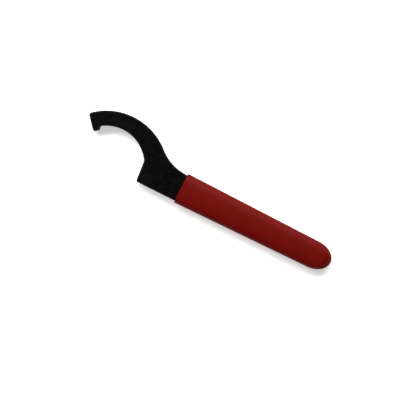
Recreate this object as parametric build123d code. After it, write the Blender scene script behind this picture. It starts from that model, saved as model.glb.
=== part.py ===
from build123d import *
from math import asin, cos, degrees, hypot, radians, sin, sqrt
import os

# Fixed hook wrench for round caps and couplings that have notches in their rim.
# The origin is on the coupling's axis, halfway through the steel. +X runs along the handle
# to its end, +Y points to the hook's outer side, and +Z is the thickness. Millimetres.

# Jaw: the arc that lies on the coupling, the tooth that drops into a notch, and the heel.
jaw_radius = 38.8
tooth_angle = 130.9        # direction of the tooth from the coupling's axis, from +X
tooth_width = 6.9
tooth_height = 3.9         # how far the tooth stands in from the jaw's arc
tooth_corner = 1.9
tooth_root = 2.4
heel_angle = 31.4          # direction of the heel's nose
heel_lean = 4.6            # the heel's face leans back by this much
heel_nose_round = 6.0
heel_corner_round = 2.2

# Hook arm: an arc round a centre that lies off the coupling's axis, so it narrows to the tooth.
arm_width = 22.4           # mean width
arm_narrowing = 7.7        # how much narrower than the mean at its narrowest
arm_narrow_angle = 125.0
tip_round = 2.6
neck_radius = 48.0         # hollow of the neck, between the arm and the top of the shank

# Shank and tang.
steel_thickness = 10.0
steel_edge_round = 1.8
shank_width = 28.4
handle_offset = 12.6       # the handle's centre line above the coupling's axis
handle_taper = 0.79        # each side, degrees
neck_land = 0.6            # stretch of shank between the neck's hollow and the grip
tang_length = 162.8

# Shallow panel forged into both faces of the shank, running on under the grip.
panel_depth = 1.1
panel_rim = 4.6            # steel left between the panel and the shank's edge
panel_lead = 20.0          # how far the panel starts before the grip
panel_tail = 30.0          # how far it stops before the tang's end
panel_cove = 0.6
panel_lip = 0.4

# Grip, moulded onto the tang.
grip_side_wall = 1.9
grip_face_wall = 3.2
grip_end_wall = 4.2
grip_side_land = 0.3       # flat left either side of the middle plane
grip_tip_round = 10.8      # the end, seen from above: a tip arc between two shoulder arcs
grip_shoulder_round = 24.0
grip_front_round = 1.0

# How near something has to lie to a level, an outline's corner or a rim to be picked there.
at_level = 0.001
at_corner = 0.5
at_rim = 0.01


def from_axis(distance, angle):
    """The point at this distance and direction from the coupling's axis."""
    return Vector(distance * cos(radians(angle)), distance * sin(radians(angle)))


def line_onto_circle(point, direction, centre, radius):
    """Where a line from point, followed along direction, last crosses a circle."""
    reach = point - centre
    along = reach.dot(direction)
    return point + direction * (sqrt(along**2 - reach.dot(reach) + radius**2) - along)


def arc_between(start, end, centre, radius):
    """The arc about centre from start to end, by the short way round."""
    middle = (start + end) * 0.5 - centre
    return ThreePointArc(start, centre + middle.normalized() * radius, end)


def across_handle(point):
    """The same point on the handle's other side."""
    return Vector(point.X, 2 * handle_offset - point.Y)


def handle_sides(wall, end_wall):
    """Tapered sides and rounded end of the tang, or of what lies this far outside it."""
    x_end = tang_end + end_wall
    tip_round = grip_tip_round - grip_side_wall + wall
    shoulder_round = grip_shoulder_round - grip_side_wall + wall
    upper_front = Vector(shank_start, shank_top + wall)
    side = from_axis(1.0, -handle_taper)
    outward = from_axis(1.0, 90 - handle_taper)
    tip_centre = Vector(x_end - tip_round, handle_offset)
    inset = (upper_front - tip_centre).dot(outward)
    drop = shoulder_round - inset
    back = sqrt((shoulder_round - tip_round) ** 2 - drop**2)
    shoulder_centre = tip_centre - outward * drop - side * back
    shoulder_start = shoulder_centre + outward * shoulder_round
    shoulder_end = tip_centre + (tip_centre - shoulder_centre).normalized() * tip_round
    lower = [across_handle(point) for point in (upper_front, shoulder_start, shoulder_end)]
    return [
        Line(lower[0], lower[1]),
        arc_between(lower[1], lower[2], across_handle(shoulder_centre), shoulder_round),
        ThreePointArc(lower[2], Vector(x_end, handle_offset), shoulder_end),
        arc_between(shoulder_end, shoulder_start, shoulder_centre, shoulder_round),
        Line(shoulder_start, upper_front),
    ]


def tapered_slot(x_front, r_front, x_rear, r_rear):
    """A face on the handle's centre line whose two round ends differ in radius."""
    lean = degrees(asin((r_front - r_rear) / (x_rear - x_front)))
    front = Vector(x_front, handle_offset)
    rear = Vector(x_rear, handle_offset)
    up = from_axis(1.0, 90 - lean)
    down = Vector(up.X, -up.Y)
    outline = [
        Line(front + up * r_front, rear + up * r_rear),
        ThreePointArc(rear + up * r_rear, rear + Vector(r_rear, 0), rear + down * r_rear),
        Line(rear + down * r_rear, front + down * r_front),
        ThreePointArc(front + down * r_front, front - Vector(r_front, 0), front + up * r_front),
    ]
    return make_face(Wire(outline))


def slab(face, thickness):
    """The face made solid to both sides of the middle plane."""
    return extrude(face, amount=thickness / 2, both=True)


def upright_edges_at(solid, point):
    """The edges along Z that pass through a point of the outline."""
    return solid.edges().filter_by(Axis.Z).filter_by(
        lambda edge: hypot(edge.center().X - point.X, edge.center().Y - point.Y) < at_corner
    )


def lies_at(edge, height):
    """Whether an edge lies in the plane this far above or below the middle."""
    level = abs(abs(edge.center().Z) - height) < at_level
    return level and abs(edge.tangent_at(0.5).Z) < at_level


def rim_edges(solid, height):
    """The edges that lie in the two planes this far above and below the middle."""
    return solid.edges().filter_by(lambda edge: lies_at(edge, height))


# Levels and centre lines that several pieces share.
shank_top = handle_offset + shank_width / 2
shank_bottom = handle_offset - shank_width / 2
crown_radius = jaw_radius + arm_width
crown_centre = from_axis(-arm_narrowing, arm_narrow_angle)
neck_rise = shank_top + neck_radius - crown_centre.Y
neck_run = sqrt((crown_radius + neck_radius) ** 2 - neck_rise**2)
neck_centre = crown_centre + Vector(neck_run, neck_rise)
neck_on_crown = crown_centre + (neck_centre - crown_centre).normalized() * crown_radius
shank_start = neck_centre.X
grip_front = shank_start + neck_land
tang_end = grip_front + tang_length

# Tooth, from its two flanks, which run parallel to its own direction.
inward = from_axis(-1.0, tooth_angle)
beside = from_axis(tooth_width / 2, tooth_angle - 90)
tooth_tip = from_axis(jaw_radius - tooth_height, tooth_angle)
tooth_far = tooth_tip - beside
tooth_near = tooth_tip + beside
tip_corner = line_onto_circle(tooth_far, inward * -1, crown_centre, crown_radius)
tooth_foot = line_onto_circle(tooth_near, inward * -1, Vector(0, 0), jaw_radius)

# Heel: its nose lies on the jaw's arc, and its face runs down to the shank's lower edge.
heel_nose = from_axis(jaw_radius, heel_angle)
heel_drop = heel_nose.Y - shank_bottom
heel_corner = heel_nose + from_axis(1.0, heel_lean - 90) * (heel_drop / cos(radians(heel_lean)))


def wrench_body():
    """Hook arm, tooth, heel, neck, shank and tang, forged in one piece."""
    outline = [
        Line(heel_corner, Vector(shank_start, shank_bottom)),
        *handle_sides(0, 0),
        arc_between(Vector(shank_start, shank_top), neck_on_crown, neck_centre, neck_radius),
        arc_between(neck_on_crown, tip_corner, crown_centre, crown_radius),
        Line(tip_corner, tooth_far),
        Line(tooth_far, tooth_near),
        Line(tooth_near, tooth_foot),
        arc_between(tooth_foot, heel_nose, Vector(0, 0), jaw_radius),
        Line(heel_nose, heel_corner),
    ]
    body = slab(make_face(Wire(outline)), steel_thickness)
    rounded_corners = [
        (heel_corner, heel_corner_round),
        (heel_nose, heel_nose_round),
        (tooth_foot, tooth_root),
        (tooth_near, tooth_corner),
        (tooth_far, tooth_corner),
        (tip_corner, tip_round),
    ]
    for corner, radius in rounded_corners:
        body = fillet(upright_edges_at(body, corner), radius)
    body = fillet(rim_edges(body, steel_thickness / 2), steel_edge_round)
    return press_panels(body)


def press_panels(body):
    """The shallow panels in both faces, each with a cove at its floor and a softened lip."""
    front_r = shank_width / 2 - panel_rim
    rear_x = tang_end - panel_tail
    rear_r = front_r - (rear_x - shank_start) * sin(radians(handle_taper))
    slot = tapered_slot(grip_front - panel_lead + front_r, front_r, rear_x - rear_r, rear_r)
    face_height = steel_thickness / 2
    punch = Pos(0, 0, face_height - panel_depth) * extrude(slot, amount=2 * panel_depth)
    punch = fillet(punch.faces().sort_by(Axis.Z)[0].edges(), panel_cove)
    body = body - punch - mirror(punch, Plane.XY)
    rim = Pos(0, 0, face_height) * slot
    lips = rim_edges(body, face_height).filter_by(
        lambda edge: rim.distance_to(Vertex(edge.center().X, edge.center().Y, face_height)) < at_rim
    )
    return fillet(lips, panel_lip)


def handle_grip(body):
    """The moulded grip: full-round sides, a rounded end, and the tang's own shape inside."""
    thickness = steel_thickness + 2 * grip_face_wall
    sides = handle_sides(grip_side_wall, grip_end_wall)
    blank_front = Line(sides[-1] @ 1, sides[0] @ 0)
    grip = slab(make_face(Wire([*sides, blank_front])), thickness)
    long_edges = rim_edges(grip, thickness / 2).filter_by(lambda edge: edge.center().X > grip_front)
    grip = fillet(long_edges, thickness / 2 - grip_side_land)
    grip = split(grip, bisect_by=Plane(origin=(grip_front, 0, 0), z_dir=(1, 0, 0)), keep=Keep.TOP)
    grip = fillet(grip.faces().sort_by(Axis.X)[0].edges(), grip_front_round)
    return grip - body


os.makedirs("parts", exist_ok=True)
steel = wrench_body()
for node, piece in {"wrench_body": steel, "handle_grip": handle_grip(steel)}.items():
    export_step(piece, f"parts/{node}.step")
    print(node, "volume", round(piece.volume), "mm3, size", piece.bounding_box().size)
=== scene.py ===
# %% [markdown]
# # A hook wrench for hydrant caps, finished in Blender
#
# The real tool is two pieces. One is a blackened steel forging: a hook that narrows to a tooth,
# a heel that leans on the coupling, a short neck, and a flat tang. The other is a red PVC grip
# that is moulded onto the tang. The CAD model already holds both at full size, so this script
# keeps the steel's shape, gives it a skin, and builds the grip again as a fine, softly crowned
# mesh. We start by loading the frame and noting the box that nothing may leave.

# %% Load the frame
import bmesh
import bpy
from math import asin, cos, degrees, pi, radians, sin
from mathutils import Matrix, Vector


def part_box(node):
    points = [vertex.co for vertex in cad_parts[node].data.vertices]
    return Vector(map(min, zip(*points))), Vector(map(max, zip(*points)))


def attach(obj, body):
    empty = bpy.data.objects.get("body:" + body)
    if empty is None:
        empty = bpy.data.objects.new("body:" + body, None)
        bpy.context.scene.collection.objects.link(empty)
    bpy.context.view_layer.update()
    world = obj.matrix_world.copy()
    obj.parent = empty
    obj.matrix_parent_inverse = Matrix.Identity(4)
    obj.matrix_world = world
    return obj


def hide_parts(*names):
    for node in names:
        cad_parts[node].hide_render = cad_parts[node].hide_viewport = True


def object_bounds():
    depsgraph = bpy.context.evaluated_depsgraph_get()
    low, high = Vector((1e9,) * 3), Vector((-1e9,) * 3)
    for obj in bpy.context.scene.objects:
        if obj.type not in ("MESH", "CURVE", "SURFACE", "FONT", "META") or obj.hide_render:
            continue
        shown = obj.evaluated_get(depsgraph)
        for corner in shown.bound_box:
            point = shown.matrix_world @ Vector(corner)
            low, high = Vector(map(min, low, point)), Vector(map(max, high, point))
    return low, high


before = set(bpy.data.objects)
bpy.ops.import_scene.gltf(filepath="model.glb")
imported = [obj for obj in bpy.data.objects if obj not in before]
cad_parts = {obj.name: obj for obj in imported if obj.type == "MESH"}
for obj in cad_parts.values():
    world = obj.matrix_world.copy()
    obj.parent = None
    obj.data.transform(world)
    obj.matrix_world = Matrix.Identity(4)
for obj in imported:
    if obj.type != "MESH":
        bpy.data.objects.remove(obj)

mm = 0.001


def in_mm(lengths):
    """Lengths in millimetres, rounded for printing."""
    return [round(length / mm, 2) for length in lengths]


cad_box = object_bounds()
steel_low, steel_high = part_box("wrench_body")
grip_low, grip_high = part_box("handle_grip")
print("whole tool, mm:", in_mm(cad_box[1] - cad_box[0]))
print("grip from x, to x, mm:", in_mm([grip_low.x, grip_high.x]))
print("steel from x, to x, mm:", in_mm([steel_low.x, steel_high.x]))

# %% [markdown]
# ## Arithmetic on sockets
#
# Skins and rules are both written as formulas, and a formula of twenty Math nodes is hard to
# read. So one small class wraps a node's output and gives it Python's operators: `1 - mask`
# adds a Subtract node. The class Graph makes every other node in one way. It takes the node's
# type, then its settings, which decide what sockets it has, and then what goes into them.

# %% A socket that can be calculated with
class Value:
    """The output of a node. An operator on it adds the Math node that works it out."""

    def __init__(self, graph, socket):
        self.graph = graph
        self.socket = socket

    def math(self, operation, *others):
        return self.graph.math(operation, self, *others)

    def __add__(self, other):
        return self.math("ADD", other)

    __radd__ = __add__

    def __mul__(self, other):
        return self.math("MULTIPLY", other)

    __rmul__ = __mul__

    def __sub__(self, other):
        return self.math("SUBTRACT", other)

    def __rsub__(self, other):
        return self.graph.math("SUBTRACT", other, self)

    def __truediv__(self, other):
        return self.math("DIVIDE", other)

    def __rtruediv__(self, other):
        return self.graph.math("DIVIDE", other, self)

    def __pow__(self, other):
        return self.math("POWER", other)

    def __abs__(self):
        return self.math("ABSOLUTE")


# %% A graph that makes nodes in one way
class Graph:
    """A node tree that is being wired up."""

    def __init__(self, tree):
        self.tree = tree

    def add(self, kind, settings=None, sockets=None):
        """Make a node: settings first, then a value or a link for each named or numbered socket."""
        node = self.tree.nodes.new(kind)
        for name, setting in (settings or {}).items():
            setattr(node, name, setting)
        for key, value in (sockets or {}).items():
            if isinstance(value, Value):
                self.tree.links.new(value.socket, node.inputs[key])
            else:
                node.inputs[key].default_value = value
        return node

    def get(self, kind, settings=None, sockets=None, output=0):
        """Make a node and hand back one of its outputs."""
        return Value(self, self.add(kind, settings, sockets).outputs[output])

    def math(self, operation, *values):
        return self.get("ShaderNodeMath", {"operation": operation}, dict(enumerate(values)))

    def smooth(self, value, low, high):
        """0 below low, 1 above high, and an S-curve between them."""
        ends = {"From Min": low, "From Max": high, "Value": value}
        return self.get("ShaderNodeMapRange", {"interpolation_type": "SMOOTHSTEP"}, ends)

    def parts(self, vector):
        """The three numbers in a vector."""
        node = self.add("ShaderNodeSeparateXYZ", sockets={0: vector})
        return [Value(self, output) for output in node.outputs]

    def noise(self, where, scale, detail=2.0, roughness=0.5):
        """Smooth noise from 0 to 1, with this many features to the metre."""
        sockets = {"Vector": where, "Scale": scale, "Detail": detail, "Roughness": roughness}
        return self.get("ShaderNodeTexNoise", sockets=sockets)

    def blend(self, share, first, second):
        """A colour between two, by share."""
        sockets = {"Factor": share, 6: first, 7: second}
        return self.get("ShaderNodeMix", {"data_type": "RGBA"}, sockets, output=2)

    def relief(self, height, depth, strength):
        """A normal bent by a height, where a height of 1 stands this deep in metres."""
        sockets = {"Strength": strength, "Distance": depth, "Height": height}
        return self.get("ShaderNodeBump", sockets=sockets, output="Normal")


# %% A material with nothing in it but its shader
def new_skin(name):
    """An empty material, its graph and its Principled shader."""
    skin = bpy.data.materials.new(name)
    skin.use_nodes = True
    skin.node_tree.nodes.clear()
    graph = Graph(skin.node_tree)
    shader = graph.add("ShaderNodeBsdfPrincipled")
    graph.add("ShaderNodeOutputMaterial", sockets={"Surface": Value(graph, shader.outputs[0])})
    return skin, graph, shader


def feed(graph, shader, **sockets):
    """Link values that vary over the surface to the shader's sockets."""
    for name, value in sockets.items():
        graph.tree.links.new(value.socket, shader.inputs[name.replace("_", " ")])


# %% [markdown]
# ## The blackened forging
#
# A wrench like this is usually drop forged, shot blasted and blackened. Close up, blasting
# leaves a fine, even grain of dents under a millimetre across, and forging leaves low waves a
# centimetre or two long. The blackening is thin, so its tone drifts between cool and warm
# black, turns greyer where the flash was trimmed off round the sides, and is rubbed along the
# faces' edges. A flat black would look like paint, and a wrapped picture would need seams. So
# all of it is noise and masks on Object coordinates, which stay put on the piece.

# %% Tones and scales of the forging
cool_black = (0.0010, 0.0009, 0.0009, 1)
warm_black = (0.0036, 0.0032, 0.0027, 1)
trimmed_steel = (0.008, 0.0075, 0.007, 1)
rubbed_steel = (0.016, 0.0145, 0.013, 1)

# Features to the metre.
drift_scale = 38
wave_scale = 75
cloud_scale = 190
blast_scale = 1500

# Heights from the middle plane between which a mask fades.
trim_fade = (0.5 * mm, 1.1 * mm)
rub_fade = (4.3 * mm, 4.6 * mm)
print("blasted dents, mm across:", in_mm([1 / blast_scale]))


# %% Skin: blackened steel
def blackened_steel():
    skin, graph, shader = new_skin("blackened_steel")
    place = graph.get("ShaderNodeTexCoord", output="Object")
    height = abs(graph.parts(place)[2])
    facing = graph.get("ShaderNodeNewGeometry", output="Normal")
    upright = abs(graph.parts(facing)[2])
    sideways = 1 - graph.smooth(upright, 0.25, 0.75)

    drift = graph.noise(place, drift_scale, detail=3)
    cloud = graph.noise(place, cloud_scale, detail=4)
    blast = graph.noise(place, blast_scale, detail=2, roughness=0.6)
    waves = graph.noise(place, wave_scale, detail=1)

    tone = graph.smooth(drift * 0.4 + cloud * 0.4 + blast * 0.2, 0.38, 0.62)
    black = graph.blend(tone, cool_black, warm_black)
    trimmed = sideways * (1 - graph.smooth(height, *trim_fade))
    sides = graph.blend(trimmed * 0.6, black, trimmed_steel)
    near_face = graph.smooth(height, *rub_fade)
    on_edge = near_face * (1 - graph.smooth(upright, 0.93, 0.99))
    rubbed = on_edge * graph.smooth(cloud * 0.7 + blast * 0.3, 0.42, 0.6)
    colour = graph.blend(rubbed * 0.7, sides, rubbed_steel)

    dents = graph.relief(blast * 0.55 + waves * 1.0 + cloud * 0.35, depth=0.12 * mm, strength=1.0)
    dullness = 0.36 + cloud * 0.12 + blast * 0.10
    feed(graph, shader, Base_Color=colour, Normal=dents, Roughness=dullness)
    shader.inputs["Specular IOR Level"].default_value = 0.03
    return skin


steel_skin = blackened_steel()
steel = bpy.data.objects["wrench_body"]
steel.data.materials[0] = steel_skin
print("steel skin has", len(steel_skin.node_tree.nodes), "nodes")

# %% [markdown]
# ## The red PVC
#
# Moulded soft PVC is smooth but never flat: it has the faint orange peel of the mould, a haze
# that breaks up its shine, and a colour that drifts a little with the mix. It could be given a
# coat for gloss, but it has no lacquer, so its shine comes from a middling roughness alone.

# %% Tones and scales of the PVC
deep_red = (0.124, 0.0024, 0.0013, 1)
fresh_red = (0.142, 0.0035, 0.0021, 1)

# Features to the metre.
mix_scale = 30
haze_scale = 260
peel_scale = 620
grain_scale = 2600
print("dimples of the orange peel, mm across:", in_mm([1 / peel_scale]))


# %% Skin: red PVC
def red_pvc():
    skin, graph, shader = new_skin("red_pvc_skin")
    place = graph.get("ShaderNodeTexCoord", output="Object")
    drift = graph.noise(place, mix_scale, detail=2)
    haze = graph.noise(place, haze_scale, detail=3)
    peel = graph.noise(place, peel_scale, detail=1)
    grain = graph.noise(place, grain_scale, detail=1)

    colour = graph.blend(graph.smooth(drift * 0.7 + haze * 0.3, 0.3, 0.7), deep_red, fresh_red)
    orange_peel = graph.relief(peel + grain * 0.3, depth=0.08 * mm, strength=0.7)
    dullness = 0.44 + haze * 0.12
    feed(graph, shader, Base_Color=colour, Normal=orange_peel, Roughness=dullness)
    shader.inputs["Specular IOR Level"].default_value = 0.06
    return skin


pvc_skin = red_pvc()
print("PVC skin has", len(pvc_skin.node_tree.nodes), "nodes")

# %% [markdown]
# ## The grip, from a rule
#
# The grip could be a subdivided box, but its shape has a plain rule: a rounded section that
# tapers along the handle, closes in a rounded end, and turns over in a small lip at the front.
# Geometry Nodes suit that. A grid's rows become stations along the handle and its columns run
# round the section. Each point is placed by formula, so sizes stay named inputs.

# %% Helpers for geometry node trees
def new_geometry_tree(name, inputs):
    """A geometry tree with named inputs, its graph and the values of those inputs."""
    tree = bpy.data.node_groups.new(name, "GeometryNodeTree")
    tree.interface.new_socket("Geometry", in_out="OUTPUT", socket_type="NodeSocketGeometry")
    for title, kind in inputs.items():
        tree.interface.new_socket(title, in_out="INPUT", socket_type=kind)
    graph = Graph(tree)
    group_in = graph.add("NodeGroupInput")
    return tree, graph, {title: Value(graph, group_in.outputs[title]) for title in inputs}


def close_tree(graph, geometry, skin):
    """End a tree: real meshes instead of instances, and the piece's material on them."""
    real = graph.get("GeometryNodeRealizeInstances", sockets={"Geometry": geometry})
    dressed = graph.get("GeometryNodeSetMaterial", sockets={"Geometry": real, "Material": skin})
    graph.add("NodeGroupOutput", sockets={"Geometry": dressed})


# %% Helpers for pieces
def new_piece(name, mesh=None):
    """An object at the origin, in the scene."""
    piece = bpy.data.objects.new(name, mesh or bpy.data.meshes.new(name))
    bpy.context.scene.collection.objects.link(piece)
    return piece


def run_tree(piece, tree, settings):
    """Give a tree its inputs by identifier, let it work, and keep the result as a plain mesh."""
    modifier = piece.modifiers.new(tree.name, "NODES")
    modifier.node_group = tree
    for item in tree.interface.items_tree:
        if item.name in settings:
            modifier[item.identifier] = settings[item.name]
    keep_result(piece)


def keep_result(piece):
    """Replace a piece's mesh by what its modifiers make of it, and drop the modifiers."""
    bpy.context.view_layer.update()
    seen = piece.evaluated_get(bpy.context.evaluated_depsgraph_get())
    old = piece.data
    piece.data = bpy.data.meshes.new_from_object(seen)
    piece.modifiers.clear()
    bpy.data.meshes.remove(old)


def outward(piece, crease):
    """Turn every face outwards, shade smoothly across all but the sharp edges, count open ones."""
    shape = bmesh.new()
    shape.from_mesh(piece.data)
    bmesh.ops.recalc_face_normals(shape, faces=shape.faces)
    open_edges = sum(1 for edge in shape.edges if not edge.is_manifold)
    shape.to_mesh(piece.data)
    shape.free()
    piece.data.shade_smooth()
    piece.data.set_sharp_from_angle(angle=crease)
    return open_edges


# %% [markdown]
# ### One shell for both sides of the wall
#
# A moulded grip is a sleeve with a closed end, so its skin is one sheet: it starts at a pole
# deep inside, where the tang ends, runs forward over the steel, turns round the front edge, and
# goes back outside to a second pole at the rounded end. Half of the grid's rows are therefore
# inside and half outside, and a mask picks the sizes. Inside, the section is nearly a
# rectangle, a hair smaller than the tang, so that no gap shows where the steel leaves the PVC.
#
# Outside, the section is a superellipse. At a squareness of 2 it is an ellipse, and above that
# its faces flatten while the sides stay round, which is how a hand grip is crowned. Towards the
# end the squareness eases back to 2, so that the grip closes in a plain dome without corners.

# %% The rule: stations along the handle, and how a section closes
def rounded_end(graph, x, end, reach):
    """1 along the handle, falling to 0 at its end on a quarter of an ellipse."""
    into = graph.math("MAXIMUM", 1 - (end - x) / reach, 0)
    return graph.math("SQRT", graph.math("MAXIMUM", 1 - into * into, 0))


def station(graph, size, share, end):
    """The place along the handle; stations crowd together at the front and at the end."""
    eased = (1 - graph.math("COSINE", share * pi)) * 0.5
    return size["Front"] + (end - size["Front"]) * eased


# %% The rule: the two sections
def outside_section(graph, size, x):
    """Half width, half thickness and squareness of the grip's outer skin at x."""
    run = x - size["Front"]
    near_lip = graph.math("MAXIMUM", 1 - run / size["Lip"], 0)
    flank = graph.math("SQRT", graph.math("MAXIMUM", 1 - near_lip * near_lip, 0))
    turned_in = size["Lip"] * (1 - flank)
    width = size["Half Width"] - run * size["Taper"] - turned_in
    thickness = size["Half Thickness"] - turned_in
    closing = rounded_end(graph, x, size["End"], size["Width Rounding"])
    squareness = 2 + (size["Squareness"] - 2) * closing
    width = width * closing
    thickness = thickness * rounded_end(graph, x, size["End"], size["Thickness Rounding"])
    return width, thickness, squareness


def inside_section(graph, size, x):
    """The same three for the wall that lies on the tang."""
    closing = rounded_end(graph, x, size["Tang End"], size["Tang Rounding"])
    width = (size["Tang Half Width"] - (x - size["Front"]) * size["Taper"]) * closing
    return width, size["Tang Half Thickness"] * closing, size["Tang Squareness"]


# %% The rule: every point of the skin
def grip_tree(sizes):
    inputs = {name: "NodeSocketFloat" for name in sizes}
    inputs.update(dict.fromkeys(["Rows", "Columns"], "NodeSocketInt"), Skin="NodeSocketMaterial")
    tree, graph, size = new_geometry_tree("grip_rule", inputs)

    # Across, the grid runs from -1 at the inner pole to 1 at the outer; around, over one turn.
    spread = {"Size X": 2.0, "Size Y": 1.0}
    counts = {"Vertices X": size["Rows"], "Vertices Y": size["Columns"]}
    grid = graph.get("GeometryNodeMeshGrid", sockets={**spread, **counts})
    across, around, _ = graph.parts(graph.get("GeometryNodeInputPosition"))
    inside = graph.math("LESS_THAN", across, 0)
    end = size["End"] + (size["Tang End"] - size["End"]) * inside
    x = station(graph, size, abs(across), end)

    outer = outside_section(graph, size, x)
    inner = inside_section(graph, size, x)
    half_width, half_thickness, squareness = [o + (i - o) * inside for o, i in zip(outer, inner)]
    turn = (around + 0.5) * (2 * pi)
    cosine = graph.math("COSINE", turn)
    sine = graph.math("SINE", turn)
    swell = (abs(cosine) ** squareness + abs(sine) ** squareness) ** (-1 / squareness)
    y = size["Middle"] + half_width * cosine * swell
    z = half_thickness * sine * swell

    point = graph.get("ShaderNodeCombineXYZ", sockets={0: x, 1: y, 2: z})
    shaped = graph.get("GeometryNodeSetPosition", sockets={"Geometry": grid, "Position": point})
    seam = {"Geometry": shaped, "Distance": weld}
    close_tree(graph, graph.get("GeometryNodeMergeByDistance", sockets=seam), size["Skin"])
    return tree


# %% The grip's sizes
weld = 0.003 * mm              # points nearer than this are one, along the seam and at the poles
inside_box = 0.002 * mm        # how far the end stays inside the design's box
tucked = 0.3 * mm              # how far the inner wall lies inside the steel
tang_half_width = 14.2 * mm    # at the grip's front
grip_detail = {"Rows": 401, "Columns": 97}
grip_sizes = {
    "Front": grip_low.x,
    "End": grip_high.x - inside_box,
    "Middle": (grip_low.y + grip_high.y) / 2,
    "Half Width": (grip_high.y - grip_low.y) / 2,
    "Half Thickness": grip_high.z,
    "Taper": 0.0138,
    "Lip": 0.7 * mm,
    "Squareness": 2.9,
    "Width Rounding": 19.3 * mm,
    "Thickness Rounding": 10.5 * mm,
    "Tang End": steel_high.x - tucked,
    "Tang Half Width": tang_half_width - tucked,
    "Tang Half Thickness": steel_high.z - tucked,
    "Tang Rounding": 14 * mm,
    "Tang Squareness": 9.0,
}
print("wall beside the tang, mm:", in_mm([grip_sizes["Half Width"] - tang_half_width]))

# %% Make the grip
grip = new_piece("red_grip")
run_tree(grip, grip_tree(grip_sizes), {**grip_sizes, **grip_detail, "Skin": pvc_skin})
print("open edges in the grip:", outward(grip, crease=radians(40)))
print("faces in the grip:", len(grip.data.polygons))
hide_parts("handle_grip")
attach(grip, "root")
print("grip's sides, mm:", in_mm(grip.dimensions))

# %% [markdown]
# ## The camera
#
# The tool lies flat and is seen straight from above, turned so that the handle runs down to
# the right. A long lens from a metre away keeps the sides of the grip from showing unevenly.

# %% Camera
turned = radians(26.6)
frame_right = Vector((cos(turned), sin(turned), 0))
frame_up = Vector((-sin(turned), cos(turned), 0))
overhead = Vector((0, 0, 1))
centre = Vector((100.35, 10.4, 0)) * mm
camera_height = 1.0

camera_data = bpy.data.cameras.new("camera")
camera_data.lens = 90
camera_data.sensor_width = 36
camera = bpy.data.objects.new("camera", camera_data)
camera.location = centre + overhead * camera_height
camera.rotation_euler = (0, 0, turned)
bpy.context.scene.collection.objects.link(camera)
bpy.context.scene.camera = camera
frame_width = camera_height * camera_data.sensor_width / camera_data.lens
print("the frame takes in, mm:", in_mm([frame_width]))

# %% [markdown]
# ## Floor and light
#
# Near-black steel shows whatever lies straight above it, so the sky overhead is kept dim and
# the light comes from a long soft panel beyond the top of the frame. It leaves the lower side
# of the round grip in shade, which is what tells the eye that it is round. More lamps could
# light the floor to white, but they would reach into that shade. So the floor glows a little by
# itself, which also lightens the shadow, and it glows more far away, to meet a pale horizon.

# %% Floor
def grey(tone):
    """A colour with no hue."""
    return (tone, tone, tone, 1)


def plain_floor(height, reach, tone, glow_near, glow_far, glow_fade):
    """A matt square as wide as twice its reach, whose own glow grows with distance."""
    mesh = bpy.data.meshes.new("floor")
    corners = ((-1, -1), (1, -1), (1, 1), (-1, 1))
    mesh.from_pydata([(x * reach, y * reach, height) for x, y in corners], [], [(0, 1, 2, 3)])
    floor = new_piece("floor", mesh)
    skin, graph, shader = new_skin("pale_floor")
    shader.inputs["Base Color"].default_value = grey(tone)
    shader.inputs["Roughness"].default_value = 0.9
    shader.inputs["Specular IOR Level"].default_value = 0.0
    shader.inputs["Emission Strength"].default_value = 1.0
    place = graph.get("ShaderNodeTexCoord", output="Object")
    away = graph.get("ShaderNodeVectorMath", {"operation": "LENGTH"}, {0: place}, output="Value")
    glow = graph.blend(graph.smooth(away, *glow_fade), grey(glow_near), grey(glow_far))
    feed(graph, shader, Emission_Color=glow)
    mesh.materials.append(skin)


plain_floor(
    height=grip_low.z, reach=4.0, tone=0.86, glow_near=0.52, glow_far=0.95, glow_fade=(0.4, 2.5)
)
print("floor lies at z, mm:", in_mm([grip_low.z]))


# %% Light
def strip_panel(name, towards, distance, length, width, power):
    """A long soft panel that lies across the frame and is aimed at the middle of the tool."""
    data = bpy.data.lights.new(name, "AREA")
    data.shape = "RECTANGLE"
    data.size = length
    data.size_y = width
    data.energy = power
    back = towards.normalized()
    across = overhead.cross(back).normalized()
    lamp = bpy.data.objects.new(name, data)
    lamp.location = centre + back * distance
    lamp.rotation_euler = Matrix((across, back.cross(across), back)).transposed().to_euler()
    lamp.visible_camera = False
    bpy.context.scene.collection.objects.link(lamp)
    print(name, "panel stands", round(degrees(asin(back.z))), "degrees up")


def dim_sky(zenith, horizon, fade):
    """A sky that is pale at the horizon and dim overhead, and changes between these heights."""
    world = bpy.data.worlds.new("sky")
    world.use_nodes = True
    world.node_tree.nodes.clear()
    graph = Graph(world.node_tree)
    up = graph.parts(graph.get("ShaderNodeTexCoord", output="Generated"))[2]
    strength = horizon + (zenith - horizon) * graph.smooth(up, *fade)
    sky = graph.get("ShaderNodeBackground", sockets={"Strength": strength})
    graph.add("ShaderNodeOutputWorld", sockets={"Surface": sky})
    bpy.context.scene.world = world


strip_panel(
    "key",
    towards=frame_up - frame_right * 0.15 + overhead * 1.25,
    distance=1.7, length=3.0, width=0.6, power=62,
)
dim_sky(zenith=0.04, horizon=1.2, fade=(0.13, 0.35))
bpy.context.scene.view_settings.view_transform = "Standard"
